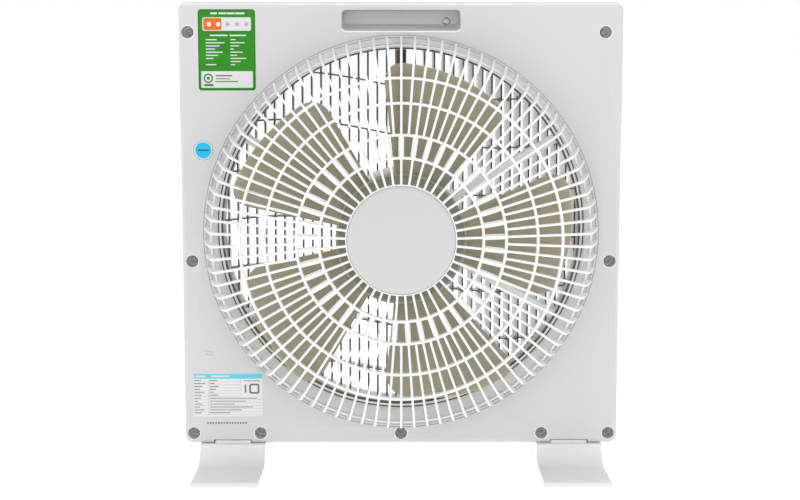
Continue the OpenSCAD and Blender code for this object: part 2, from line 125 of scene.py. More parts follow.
# Screw wells, finger recess, feet and controls
WELLS = [(x, 34.5) for x in (-209.3, -142, 142, 209.3)]
WELLS += [(0, 34.4), (-208.3, 210), (208.3, 210), (-201, 437), (209.5, 437)]
WELL_R, WELL_BOSS_R = 6.75, 8.25
CLEAR_R, PILOT_R, SCREW_R, HEAD_R = 2.05, 1.8, 1.75, 3.6
RECESS_W, RECESS_H, RECESS_Z, RECESS_D = 116.5, 20.5, 448.2, 14.0
HANDLE_SCREW_X = -45.0
FOOT_X, FOOT_W, TOE_Y, TOE_T = 170.0, 66.0, 115.0, 5.0
TAB_W, TAB_H = 36.0, 3.5
CONTROLS = [(-186, 400), (-140, 436), (-178, 436)]
CONTROL_BORES = 5.2, 5.2, 7.0
KNOB_R, KNOB_H, FLUTES = 19.0, 14.0, 24
TIMER_SWEEP, SPEED_SWEEP = 300, 135
GLAND_HOLE_R = 7.0


# ---------- mesh helpers ----------

def cosd(a):
    return math.cos(math.radians(a))


def sind(a):
    return math.sin(math.radians(a))


def mix(a, b, t):
    return a + (b - a) * t


def arc(cx, cy, r, a0, a1, n):
    return [(cx + r * cosd(mix(a0, a1, i / n)), cy + r * sind(mix(a0, a1, i / n))) for i in range(n + 1)]


def rounded(w, h, r, n=6, cx=0.0, cz=0.0):
    """Corner points of a rounded rectangle, anticlockwise"""
    out = []
    for k, (sx, sz) in enumerate([(1, 1), (-1, 1), (-1, -1), (1, -1)]):
        out += arc(cx + sx * (w / 2 - r), cz + sz * (h / 2 - r), r, 90 * k, 90 * k + 90, n)
    return out


def at_y(points, y):
    return [(x, y, z) for x, z in points]


def around(r, w, y, angle):
    """The point at a radius and a sideways offset, at an angle round the fan's axis"""
    return r * cosd(angle) - w * sind(angle), y, AXIS_Z + r * sind(angle) + w * cosd(angle)


def add(name, data):
    made = bpy.data.objects.new(name, data)
    bpy.context.scene.collection.objects.link(made)
    return made


class Shape:
    """Collects points and faces in millimetres and turns them into a mesh object."""

    def __init__(self):
        self.points, self.index, self.faces, self.smooth = [], {}, [], []

    def point(self, p):
        key = tuple(round(c, 4) for c in p)
        if key not in self.index:
            self.index[key] = len(self.points)
            self.points.append(key)
        return self.index[key]

    def face(self, points, smooth=False):
        ids = [self.point(p) for p in points]
        ids = [a for i, a in enumerate(ids) if a != ids[i - 1]]
        if len(ids) > 2 and len(set(ids)) == len(ids):
            self.faces.append(ids)
            self.smooth.append(smooth)

    def strip(self, loops, smooth=True, closed=True):
        for a, b in zip(loops, loops[1:]):
            for i in range(len(a) if closed else len(a) - 1):
                j = (i + 1) % len(a)
                self.face([a[i], a[j], b[j], b[i]], smooth)

    def loft(self, loops, smooth=True):
        self.strip(loops, smooth)
        self.face(loops[0])
        self.face(loops[-1])
        return self

    def lathe(self, profile, n=180, centre=(0.0, None), closed=True):
        """Turns (radius, y) points round an axis along Y"""
        cx, cz = centre[0], AXIS_Z if centre[1] is None else centre[1]
        loops = [[(cx + r * cosd(360 * i / n), y, cz + r * sind(360 * i / n)) for i in range(n)]
                 for r, y in profile]
        if closed:
            loops.append(loops[0])
        for a, b in zip(loops, loops[1:]):
            is_flat = abs(a[0][1] - b[0][1]) <= 1e-6
            self.strip([a, b], not is_flat)
        return self

    def box(self, x0, x1, y0, y1, z0, z1):
        lower = [(x0, y0, z0), (x1, y0, z0), (x1, y0, z1), (x0, y0, z1)]
        return self.loft([lower, [(x, y1, z) for x, _, z in lower]], False)

    def plate(self, points, y0, y1, edge=0.0, n=3):
        """Extrudes an outline of X and Z points; edge rounds its y1 side. The outline is convex."""
        cx = sum(p[0] for p in points) / len(points)
        cz = sum(p[1] for p in points) / len(points)
        size = max(abs(p[0] - cx) for p in points), max(abs(p[1] - cz) for p in points)
        sign = 1 if y1 > y0 else -1
        loops = [at_y(points, y0), at_y(points, y1 - sign * edge)]
        for i in range(1, n + 1 if edge else 1):
            inset, y = edge * (1 - cosd(90 * i / n)), y1 - sign * edge * (1 - sind(90 * i / n))
            loops.append([(cx + (x - cx) * (1 - inset / size[0]), y, cz + (z - cz) * (1 - inset / size[1]))
                          for x, z in points])
        return self.loft(loops, edge > 0)

    def object(self, name):
        mesh = bpy.data.meshes.new(name)
        mesh.from_pydata([[c * MM for c in p] for p in self.points], [], self.faces)
        mesh.polygons.foreach_set("use_smooth", self.smooth)
        work = bmesh.new()
        work.from_mesh(mesh)
        bmesh.ops.recalc_face_normals(work, faces=work.faces)
        work.to_mesh(mesh)
        work.free()
        return add(name, mesh)


def baked(obj):
    """Applies an object's modifiers"""
    bpy.context.view_layer.update()
    mesh = bpy.data.meshes.new_from_object(obj.evaluated_get(bpy.context.evaluated_depsgraph_get()))
    obj.modifiers.clear()
    obj.data = mesh
    return obj


def combine(operation, base, *others):
    """Boolean with the quick solver; a result that is empty or unchanged is made again with the exact one"""
    for other in others:
        other = other.object("tool") if isinstance(other, Shape) else other
        before = len(base.data.polygons)
        source = base.data
        for solver in ("MANIFOLD", "EXACT"):
            m = base.modifiers.new("combine", "BOOLEAN")
            m.operation, m.object, m.solver = operation, other, solver
            baked(base)
            if len(base.data.polygons) not in (0, before):
                break
            base.data = source
        bpy.data.objects.remove(other)
    return base


def cut(base, *others):
    return combine("DIFFERENCE", base, *others)


def fuse(base, *others):
    return combine("UNION", base, *others)


def bevel(obj, width, segments=3, angle=35):
    m = obj.modifiers.new("bevel", "BEVEL")
    m.width, m.segments, m.limit_method, m.angle_limit = width * MM, segments, "ANGLE", math.radians(angle)
    m.use_clamp_overlap = True
    return baked(obj)


def place(obj, body, slot, material, *nodes, sharp=35):
    """Gives a piece its materials and body and hides the CAD nodes that it stands for. slot is not used."""
    mesh = obj.data
    mesh.materials.clear()
    for m in material if isinstance(material, list) else [material]:
        mesh.materials.append(m)
    mesh.set_sharp_from_angle(angle=math.radians(sharp))
    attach(obj, body)
    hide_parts(*nodes)
    return obj


# ---------- materials ----------

def put(node, socket, value):
    node.inputs[socket].default_value = value


def material(name, colour, rough=0.45, metallic=0.0, mottle=0.03, patch=9.0, grain=0.08, grain_size=0.6,
             streak=None, subsurface=0.0, coat=0.0, edge=None, glow=0.0, specular=0.5):
    """A procedural material: mottled colour, uneven roughness and a fine moulded or worked grain.
    patch and grain_size (mm) set the size of the mottling and the grain, and streak stretches the grain.
    edge is a second colour for the points in the attribute 'rim', a painted highlight on them. glow is a
    faint light in the colour itself, which stands in for light bounced round a studio."""
    mat = bpy.data.materials.new(name)
    mat.use_nodes = True
    tree = mat.node_tree
    new, link = tree.nodes.new, tree.links.new
    shader = tree.nodes["Principled BSDF"]
    put(shader, "Metallic", metallic)
    put(shader, "Specular IOR Level", specular)
    if subsurface:
        put(shader, "Subsurface Weight", subsurface)
        put(shader, "Subsurface Radius", (1.0, 0.9, 0.6))
        put(shader, "Subsurface Scale", 0.004)
    if glow:
        put(shader, "Emission Color", (*colour, 1))
        put(shader, "Emission Strength", glow)
    if coat:
        put(shader, "Coat Weight", coat)
        put(shader, "Coat Roughness", 0.2)
    where = new("ShaderNodeTexCoord").outputs["Object"]
    fine_where = where
    if streak:
        stretch = new("ShaderNodeMapping")
        put(stretch, "Scale", streak)
        link(where, stretch.inputs["Vector"])
        fine_where = stretch.outputs["Vector"]
    patches = new("ShaderNodeTexNoise")
    put(patches, "Scale", patch)
    put(patches, "Detail", 4)
    link(where, patches.inputs["Vector"])
    shade = new("ShaderNodeMix")
    shade.data_type = "RGBA"
    put(shade, "A", [c * (1 - mottle) for c in colour] + [1])
    put(shade, "B", [min(1.0, c * (1 + mottle)) for c in colour] + [1])
    link(patches.outputs["Fac"], shade.inputs["Factor"])
    base = shade.outputs["Result"]
    if edge:
        rim = new("ShaderNodeAttribute")
        rim.attribute_name = "rim"
        trim = new("ShaderNodeMix")
        trim.data_type = "RGBA"
        put(trim, "B", [*edge, 1])
        link(rim.outputs["Fac"], trim.inputs["Factor"])
        link(base, trim.inputs["A"])
        base = trim.outputs["Result"]
    link(base, shader.inputs["Base Color"])
    fine = new("ShaderNodeTexNoise")
    put(fine, "Scale", 1 / (grain_size * MM))
    put(fine, "Detail", 2)
    link(fine_where, fine.inputs["Vector"])
    spread = new("ShaderNodeMapRange")
    put(spread, "To Min", max(0.05, rough - 0.08))
    put(spread, "To Max", min(1.0, rough + 0.08))
    link(fine.outputs["Fac"], spread.inputs["Value"])
    link(spread.outputs["Result"], shader.inputs["Roughness"])
    bump = new("ShaderNodeBump")
    put(bump, "Strength", grain)
    put(bump, "Distance", 0.0004)
    link(fine.outputs["Fac"], bump.inputs["Height"])
    link(bump.outputs["Normal"], shader.inputs["Normal"])
    return mat


CASE = material("case_white", (0.605, 0.605, 0.606), 0.45, mottle=0.015, grain=0.12, grain_size=0.5)
# The feet's white; it also paints a highlight on the case's top edge and shade on the guard's sunken foot
# ring.
FOOT = material("foot_white", (0.75, 0.75, 0.753), 0.45, mottle=0.015, grain=0.12, grain_size=0.5)
# A brighter copy of the case plastic that glows faintly: painted light on the dish, collar, lips, track
# groove and the feet's inner sides.
WHITE_LIT = material("white_painted_light", (0.93, 0.93, 0.925), 0.4, mottle=0.012, grain=0.08, grain_size=0.5, glow=0.12)
# A darker copy of the case plastic: painted shade in the finger recess.
RECESS_SHADE = material("recess_painted_shade", (0.49, 0.49, 0.493), 0.5, mottle=0.03, grain=0.12, grain_size=0.5)
# A paler copy of the case plastic: painted light inside the screw wells.
WELL_LIT = material("well_painted_light", (0.70, 0.69, 0.68), 0.5, mottle=0.03, grain=0.1)
GUARD = material("guard_white", (0.85, 0.855, 0.855), 0.32, mottle=0.012, grain=0.05)
CAP = material("cap_white", (0.56, 0.56, 0.563), 0.45, mottle=0.015, grain=0.08)
# The paler edge colour paints a highlight along the blades' outlines.
KHAKI = material("rotor_khaki", (0.395, 0.36, 0.255), 0.4, mottle=0.08, patch=14, grain=0.05,
                 subsurface=0.15, edge=(0.72, 0.68, 0.52))
# A paler, glowing copy of the rotor's khaki: painted light in the hub's hollow.
HUB_LIT = material("hub_painted_light", (0.52, 0.51, 0.43), 0.5, mottle=0.1, grain=0.08, glow=0.16)
LOUVER = material("louver_white", (0.84, 0.845, 0.84), 0.4, mottle=0.015, grain=0.06)
# Near-black: painted shade on the rear edges of the slats and ribs.
LOUVER_EDGE_SHADE = material("louver_edge_painted_shade", (0.095, 0.09, 0.078), 0.6, mottle=0.15, grain=0.1)
# A glowing white: painted light on the front spider.
SPIDER_LIT = material("spider_painted_light", (0.92, 0.92, 0.92), 0.4, mottle=0.015, grain=0.08, glow=0.1)
# Near-black brown: painted shade in the gap round the louver's track.
TRACK_SHADE = material("track_painted_shade", (0.13, 0.097, 0.074), 0.5, mottle=0.5, patch=7, grain=0.15)
DARK = material("dark_plastic", (0.04, 0.026, 0.018), 0.45, mottle=0.3, patch=20, grain=0.12)
GREY = material("grey_plastic", (0.55, 0.57, 0.60), 0.4, mottle=0.03, grain=0.15, grain_size=0.4)
PANEL = material("panel_grey", (0.42, 0.45, 0.48), 0.35, mottle=0.03, grain=0.15, grain_size=0.35)
STEEL = material("steel", (0.56, 0.57, 0.58), 0.35, 1.0, mottle=0.05, patch=30, grain=0.15, grain_size=0.3,
                 streak=(1, 12, 1))
ZINC = material("zinc_plate", (0.62, 0.63, 0.63), 0.42, 1.0, mottle=0.14, patch=60, grain=0.2)
SCREW = material("screw_zinc", (0.60, 0.58, 0.54), 0.55, 0.5, mottle=0.1, patch=60, grain=0.2)
LAMINATION = material("lamination", (0.30, 0.30, 0.32), 0.5, 1.0, mottle=0.08, grain=0.4, grain_size=0.5,
                      streak=(0.05, 1, 0.05))
BRONZE = material("bronze", (0.55, 0.38, 0.18), 0.4, 1.0, mottle=0.12, patch=80, grain=0.3, grain_size=0.25)
COPPER = material("copper_wire", (0.62, 0.26, 0.10), 0.35, 1.0, mottle=0.15, patch=60, grain=0.8,
                  grain_size=1.2, streak=(0.2, 2, 0.2), coat=0.5)
BROWN_LEAD = material("lead_brown", (0.10, 0.05, 0.03), 0.4, mottle=0.1, patch=40, grain=0.06, coat=0.2)
BLACK_LEAD = material("lead_black", (0.012, 0.012, 0.012), 0.35, mottle=0.2, patch=40, grain=0.06, coat=0.2)
FILM = material("capacitor_film", (0.06, 0.06, 0.07), 0.25, mottle=0.1, patch=30, grain=0.05, coat=0.4)
PLAIN = material("label_clear", (0.71, 0.712, 0.715), 0.28, mottle=0.015, patch=50, grain=0.03)


def print_ink(name, colour, rough, mottle, patch):
    """Printed paper or ink, which shines less than the plastic round it"""
    return material("label_" + name, colour, rough, mottle=mottle, patch=patch, grain=0.05, specular=0.15)


GREEN = print_ink("green", (0.026, 0.235, 0.012), 0.4, 0.2, 24)
DEEP_GREEN = print_ink("border_green", (0.012, 0.17, 0.008), 0.4, 0.1, 30)
ORANGE = print_ink("orange", (0.78, 0.15, 0.02), 0.4, 0.05, 60)
PAPER = print_ink("white", (0.68, 0.66, 0.69), 0.35, 0.02, 50)
INK = print_ink("ink", (0.16, 0.16, 0.17), 0.4, 0.2, 200)
PALE_INK = print_ink("pale_ink", (0.42, 0.42, 0.44), 0.4, 0.08, 200)
BROWN_INK = print_ink("brown_ink", (0.10, 0.055, 0.04), 0.4, 0.15, 200)
CYAN = print_ink("cyan", (0.12, 0.60, 0.74), 0.3, 0.04, 60)
SKY = print_ink("sky_blue", (0.013, 0.48, 0.82), 0.4, 0.05, 60)


# ---------- case ----------

def case_loop(inset, y):
    r = max(CASE_R - inset, 2.0)
    return at_y(rounded(CASE_W - 2 * inset, CASE_H - 2 * inset, r, 8, 0, CASE_Z), y)


def case_body(seam, face, step, bends=8):
    """The outside of half a case, from its seam to its face; step points from the seam to the face"""
    loops = [case_loop(0.45, seam), case_loop(0, seam + step * 0.5), case_loop(0, face - step * EDGE_R)]
    for i in range(1, bends + 1):
        a = 90 * i / bends
        loops.append(case_loop(EDGE_R * (1 - cosd(a)), face - step * EDGE_R * (1 - sind(a))))
    return Shape().loft(loops)


def case_void(y0, y1):
    return Shape().loft([case_loop(WALL, y0), case_loop(WALL, y1)])


def rod(p, r, y0, y1, n=32):
    return Shape().lathe([(0, y0), (r, y0), (r, y1), (0, y1)], n, p, closed=False)


def post(x, y, r, z0, z1, step=12):
    """An upright cylinder"""
    return Shape().loft([[(x + r * cosd(a), y + r * sind(a), z) for a in range(0, 360, step)]
                         for z in (z0, z1)])


def many(parts):
    """Several shapes that don't touch, as one shape"""
    out = Shape()
    for s in parts:
        for f, flag in zip(s.faces, s.smooth):
            out.face([s.points[i] for i in f], flag)
    return out


def foot_slots(gap=1.2):
    """Slots that the feet's tabs slide into from behind"""
    return many([Shape().box(s * FOOT_X - TAB_W / 2 - gap, s * FOOT_X + TAB_W / 2 + gap, -41, REAR_Y + 10,
                             FOOT_H - 1, FOOT_H + TAB_H + 0.5) for s in (-1, 1)])


def recess_pocket():
    """The finger recess: a flat back behind its upper part and a slope up to the lower lip"""
    top, corner, lip = RECESS_Z + RECESS_H / 2, 4, 0.9

    def loop(grow, y, raise_by=0, shrink=0):
        keep = (RECESS_H - raise_by) / RECESS_H
        pts = rounded(RECESS_W + 2 * grow - 2 * shrink, RECESS_H + 2 * grow, corner + grow, 6, 0, RECESS_Z)
        return [(x, y, top - (top - z) * keep) for x, z in pts]
    loops = [loop(lip, REAR_Y + 1)]
    for i in range(5):
        a = 90 * i / 4
        loops.append(loop(lip * (1 - sind(a)), REAR_Y - lip * (1 - cosd(a))))
    loops += [loop(0, REAR_Y - 3, 1.2, 0.4), loop(0, REAR_Y - RECESS_D, 7.4, 1.6)]
    return Shape().loft(loops)


def well(p):
    """A screw well with its rounded lip and the screw's clearance hole"""
    edge, floor = 0.55, SEAM_Y + 2
    lip = [(WELL_R - edge * sind(a), REAR_Y - edge * (1 - cosd(a))) for a in (0, 22, 45, 68, 90)]
    hole = [(WELL_R - 0.65, floor), (CLEAR_R, floor), (CLEAR_R, SEAM_Y - 1), (0, SEAM_Y - 1)]
    return Shape().lathe([(0, REAR_Y + 1), (WELL_R, REAR_Y + 1)] + lip + hole, 40, p, closed=False)


# The case's materials, by slot: the plain plastic, then paler and darker materials that paint light and shade
# on it
OUTSIDE, PAINTED_LIGHT, IN_WELL_LIT, IN_RECESS_SHADE, TOP_EDGE_HIGHLIGHT = range(5)
CASE_LOOKS = [CASE, WHITE_LIT, WELL_LIT, RECESS_SHADE, FOOT]


def case_slot(x, y, z):
    """The material slot of a point on the case, in millimetres. The seat's inside, the wells' lips and the
    recess's lower lip get painted light, the wells' insides a milder painted light, the recess painted shade
    and the top edge a painted highlight.
    """
    lip = y > REAR_Y - LIP_D
    if math.hypot(x, z - AXIS_Z) < SEAT_R + 0.6:
        return OUTSIDE if lip else PAINTED_LIGHT
    if any(math.hypot(x - wx, z - wz) < WELL_R + 0.1 for wx, wz in WELLS):
        return PAINTED_LIGHT if lip else IN_WELL_LIT
    if y > SEAM_Y and abs(x) < RECESS_W / 2 + 1 and abs(z - RECESS_Z) < RECESS_H / 2 + 1:
        if not lip:
            return IN_RECESS_SHADE
        return PAINTED_LIGHT if z < RECESS_Z - RECESS_H / 2 + 2 else OUTSIDE
    on_top_edge = y > REAR_Y - EDGE_R - 0.01 and z > case_hi[2] - EDGE_R - 0.01
    return TOP_EDGE_HIGHLIGHT if on_top_edge else OUTSIDE


def paint_case(obj):
    """Gives each face the slot that its points share; the flat panels stay as they are"""
    slots = [case_slot(*[c / MM for c in v.co]) for v in obj.data.vertices]
    for p in obj.data.polygons:
        shared = {slots[v] for v in p.vertices}
        on_panel = abs(p.normal.y) > 0.99 and abs(p.center.y) > (REAR_Y - 0.05) * MM
        p.material_index = shared.pop() if len(shared) == 1 and not on_panel else OUTSIDE


def make_rear_cover():
    cover = case_body(SEAM_Y, REAR_Y, 1).object("rear_shell")
    cut(cover, case_void(SEAM_Y - 1, REAR_Y - WALL))
    # A solid ring, from which the seat, dish and airway are cut
    inside, flange, ledge = 180, REAR_Y - 0.2, REAR_Y - 4.7
    fuse(cover, Shape().lathe([(inside, flange), (FLANGE_R, flange), (FLANGE_R, ledge), (SEAT_R + 0.2, ledge),
                               (COLLAR_R, DISH_Y - 0.5), (COLLAR_R, COLLAR_Y), (inside, COLLAR_Y)]))
    fuse(cover, many([rod(w, WELL_BOSS_R, SEAM_Y, REAR_Y - 1) for w in WELLS]))
    fuse(cover, Shape().loft([at_y(rounded(RECESS_W + 2 * WALL, RECESS_H + 2 * WALL, 6, 6, 0, RECESS_Z), y)
                              for y in (REAR_Y - RECESS_D - 1.8, REAR_Y - 1)]))
    edge = 0.5
    lip = [(SEAT_R + edge * (1 - sind(a)), REAR_Y - edge * (1 - cosd(a))) for a in (0, 30, 60, 90)]
    dish = [(mix(LEDGE_R, DISH_R, t) + 0.9 * math.sin(math.pi * t), mix(REAR_Y - WALL, DISH_Y, t))
            for t in (0.0, 0.25, 0.5, 0.75, 1.0)]
    cut(cover, Shape().lathe([(0, REAR_Y + 1), (SEAT_R + edge, REAR_Y + 1)] + lip + [(SEAT_R, REAR_Y - WALL)]
                             + dish + [(DISH_R, COLLAR_Y - 1), (0, COLLAR_Y - 1)], closed=False))
    for w in WELLS:
        cut(cover, well(w))
    cut(cover, recess_pocket())
    handle_screw = HANDLE_SCREW_X, RECESS_Z
    cut(cover, rod(handle_screw, HEAD_R * 1.5, REAR_Y - RECESS_D - 0.3, REAR_Y + 2, 40))
    cut(cover, rod(handle_screw, CLEAR_R, REAR_Y - RECESS_D - 3, REAR_Y, 24))
    cut(cover, foot_slots())
    place(cover, "case", "case_white", CASE_LOOKS, "rear_cover")
    paint_case(cover)


def make_front_case():
    shell = case_body(SEAM_Y, FRONT_Y, -1).object("front_shell")
    cut(shell, case_void(SEAM_Y + 1, FRONT_Y + WALL))
    # A solid ring, from which the duct is cut
    inside, front, rear = 187, FRONT_Y + 0.3, TRACK_Y[0]
    fuse(shell, Shape().lathe([(inside, front), (DUCT_WALL_R, front), (DUCT_WALL_R, rear), (inside, rear)]))
    fuse(shell, many([rod(w, 5, FRONT_Y + 1, SEAM_Y) for w in WELLS]))
    edge, bore = 3.5, SPIDER_R + 0.1
    mouth = [(DUCT_R + edge * (1 - sind(a)), FRONT_Y + edge * (1 - cosd(a))) for a in (0, 18, 36, 54, 72, 90)]
    cut(shell, Shape().lathe([(0, FRONT_Y - 1), (DUCT_R + edge, FRONT_Y - 1)] + mouth
                             + [(DUCT_R, SPIDER_Y[0]), (bore, SPIDER_Y[0]), (bore, 0), (0, 0)], closed=False))
    cut(shell, foot_slots())
    cut(shell, many([rod(w, PILOT_R, SEAM_Y - 20, SEAM_Y + 1, 20) for w in WELLS]))
    cut(shell, many([rod(c, r, FRONT_Y - 1, FRONT_Y + WALL + 1) for c, r in zip(CONTROLS, CONTROL_BORES)]))
    gland_lo, gland_hi = box_mm("cord_gland")
    gx, gy = (gland_lo[0] + gland_hi[0]) / 2, (gland_lo[1] + gland_hi[1]) / 2
    cut(shell, post(gx, gy, GLAND_HOLE_R, FOOT_H - 1, FOOT_H + WALL + 1, 10))
    place(shell, "case", "case_white", CASE_LOOKS, "front_case")
    paint_case(shell)


# ---------- guard ----------

def spoke_section(depth):
    """A spoke's section as sideways offset and depth; its outer side is rounded"""
    half = [(SPOKE_W * 0.34, 0.25), (SPOKE_W / 2, 0.9), (SPOKE_W / 2 - 0.25, depth)]
    return [(-u, e) for u, e in reversed(half)] + [(0, 0)] + half


def rib_section(depth):
    """The stepped section of the wide ribs next to the hub"""
    half = [(0.9, 0.2), (1.4, 0.8), (1.5, 2.6), (2.6, 3.4), (2.7, depth)]
    return [(-u, e) for u, e in reversed(half)] + [(0, 0)] + half


def sweep_spoke(shape, angle, stations, section):
    """Sweeps a section along pairs of outer and inner (radius, y) points at an angle round the axis"""
    loops = []
    for (ro, yo), (ri, yi) in stations:
        d = math.hypot(ri - ro, yi - yo)
        dr, dy = (ri - ro) / d, (yi - yo) / d
        loops.append([around(ro + dr * e, u, yo + dy * e, angle) for u, e in section(d)])
    shape.loft(loops)


def guard_stations(r_end, sides=9, bends=7):
    """From the foot, up the bulged side, round the shoulder and in along the face"""
    shoulder = arc(176, GUARD_Y - 9, 9, 15, 90, bends)
    back = arc(172, GUARD_Y - RIB_D - 7, 7, 15, 90, bends)
    foot, foot_in = (GUARD_R, REAR_Y), (FOOT_IN_R, REAR_Y)
    out = [((GUARD_R, REAR_Y - WALL), (FOOT_IN_R, REAR_Y - WALL)), (foot, foot_in)]
    for i in range(1, sides):
        t = i / sides
        bulge = 3.6 * t * (1 - t)
        out.append(((mix(foot[0], shoulder[0][0], t) + bulge, mix(foot[1], shoulder[0][1], t)),
                    (mix(foot_in[0], back[0][0], t) + bulge / 2, mix(foot_in[1], back[0][1], t))))
    out += list(zip(shoulder, back))
    out.append(((r_end, GUARD_Y), (r_end, GUARD_Y - RIB_D)))
    return out


def ring_profile(r, w, y0, y1):
    h = w / 2
    return [(r - h, y0), (r - h, y1 - 0.8), (r - h * 0.6, y1 - 0.15), (r, y1), (r + h * 0.6, y1 - 0.15),
            (r + h, y1 - 0.8), (r + h, y0)]


def make_guard():
    face = GUARD_Y - RIB_D
    bars = Shape()
    for i in range(SPOKES):
        sweep_spoke(bars, UP + i * 360 / SPOKES, guard_stations(RING_R[1] + 0.3), spoke_section)
    for i in range(SPOKES // 2):
        angle = UP + i * 720 / SPOKES
        for outer, inner, section in ((RING_R[1] - 0.3, RING_R[0] + 0.3, rib_section),
                                      (RING_R[0] - 0.3, CAP_R + 0.9, spoke_section)):
            sweep_spoke(bars, angle, [((r, GUARD_Y), (r, face)) for r in (outer, inner)], section)
    guard = bars.object("guard")
    rings = Shape()
    for r in RING_R:
        rings.lathe(ring_profile(r, RING_W, face, GUARD_Y))
    rings.lathe(ring_profile(SKIRT_RING_R, RING_W, SKIRT_RING_Y, SKIRT_RING_Y + 4))
    rings.lathe([(GUARD_R - 2.8, REAR_Y - WALL), (GUARD_R, REAR_Y - WALL), (GUARD_R, REAR_Y - 1.2),
                 (GUARD_R - 0.5, REAR_Y - 0.8), (GUARD_R - 1.6, REAR_Y - 0.9)])
    # The plate that carries the motor, with the ring round the cap
    hole_r, front = 12, PLATE_Y - PLATE_T
    seat = CAP_R + 0.05
    rings.lathe([(hole_r, front), (HUB_RING_R, front), (HUB_RING_R, GUARD_Y - 0.5),
                 (HUB_RING_R - 0.3, GUARD_Y - 0.1), (CAP_R + 0.4, GUARD_Y - 0.1), (seat, GUARD_Y - 0.4),
                 (seat, PLATE_Y), (hole_r, PLATE_Y)])
    fuse(guard, rings)
    cut(guard, many([rod((MOTOR_SCREW_RING * cosd(a), AXIS_Z + MOTOR_SCREW_RING * sind(a)), 2.1,
                         PLATE_Y - 15.5, GUARD_Y + 9, 20) for a in (45, 135, 225, 315)]))
    place(guard, "case", "guard_white", [GUARD, FOOT], "rear_guard", sharp=40)
    # Faces below the panel's face get the duller foot material: painted shade on the sunken foot ring and
    # spoke ends.
    for p in guard.data.polygons:
        p.material_index = int(p.center.y < (REAR_Y - 0.5) * MM)

    # The cap: a slightly crowned face, a rounded shoulder and a skirt that stands on the plate
    top, bend = GUARD_Y + 3, 3.5
    crown = [(0, top), (18, top - 0.05), (34, top - 0.3), (44, top - 0.75), (48.3, top - 1.15)]
    crown += [(CAP_R - bend + bend * sind(a), top - 4.7 + bend * cosd(a)) for a in range(15, 105, 15)]
    skirt = [(CAP_R, PLATE_Y), (CAP_R - 2, PLATE_Y), (CAP_R - 2, GUARD_Y - 2), (CAP_R - 5, GUARD_Y)]
    cap = Shape().lathe(crown + skirt + [(0, GUARD_Y + 1)], 144, closed=False).object("cap")
    place(cap, "case", "case_white", CAP, "guard_cap")


# ---------- rotor ----------

def tip_at(phi):
    """Radius of a blade's tip at an angle from the blade's middle, without its rounded corners"""
    return TIP_SHIFT * sind(phi) + math.sqrt(max(TIP_R ** 2 - (TIP_SHIFT * cosd(phi)) ** 2, 0))


def blade_grid(across=28, along=22, corner=20.0):
    """Points on a blade's middle surface as rows from root to tip, in (tangent, radius, y)"""
    rows = []
    for j in range(along + 1):
        row = []
        v = 1 - (1 - j / along) ** 1.6
        for i in range(across + 1):
            a = -cosd(180 * i / across)
            phi = HALF_SWEEP * a
            tip = tip_at(phi)
            side = math.radians(HALF_SWEEP - abs(phi)) * tip
            if side < corner:
                tip -= corner - math.sqrt(max(corner ** 2 - (corner - side) ** 2, 0))
            r = mix(HUB_R - 2.4, tip, v)
            t = (r - HUB_R) / 110
            lead, trail = mix(86.5, 90.5, t), mix(61, 57, t)
            y = mix(trail, lead, (a + 1) / 2) + mix(2.5, 6.5, t) * (1 - a * a)
            row.append((r * sind(phi), r * cosd(phi), y))
        rows.append(row)
    return rows


def make_blade(shape, angle):
    """Two skins half a thickness off the blade's middle surface, which meet at its outline"""
    rows = blade_grid()
    n_rows, n_cols = len(rows), len(rows[0])

    def world(p, lift, normal):
        t, r, y = p[0] + normal[0] * lift, p[1] + normal[1] * lift, p[2] + normal[2] * lift
        x, z = r * cosd(angle) - t * sind(angle), r * sind(angle) + t * cosd(angle)
        return x, y, AXIS_Z - z

    top, bottom = [], []
    for j in range(n_rows):
        upper, lower = [], []
        for i in range(n_cols):
            a, b = rows[j][max(i - 1, 0)], rows[j][min(i + 1, n_cols - 1)]
            c, d = rows[max(j - 1, 0)][i], rows[min(j + 1, n_rows - 1)][i]
            normal = (Vector(b) - Vector(a)).cross(Vector(d) - Vector(c)).normalized()
            if normal.z < 0:
                normal = -normal
            near = min(i, n_cols - 1 - i, n_rows - 1 - j)
            half = (0, 0.7, 0.95, 1.0)[min(near, 3)] * mix(1.3, 0.9, j / (n_rows - 1))
            upper.append(world(rows[j][i], half, normal))
            lower.append(world(rows[j][i], -half, normal))
        top.append(upper)
        bottom.append(lower)
    shape.strip(top, closed=False)
    shape.strip(bottom, closed=False)
    shape.face(top[0] + bottom[0][-2:0:-1])


def mark_rim_highlights(rotor, width=0.35):
    """Marks the blades' outlines in the attribute 'rim', for the paler edge of their material: a painted
    highlight
    """
    step = 360 / BLADES
    values = []
    for v in rotor.data.vertices:
        x, z = v.co.x / MM, AXIS_Z - v.co.z / MM
        r, phi = math.hypot(x, z), math.degrees(math.atan2(z, x)) - FIRST_BLADE
        phi = (phi + step / 2) % step - step / 2
        side = math.radians(HALF_SWEEP - abs(phi)) * r
        values.append(1.0 if r > HUB_R + 6 and (side < width or tip_at(phi) - r < width) else 0.0)
    rotor.data.attributes.new("rim", "FLOAT", "POINT").data.foreach_set("value", values)


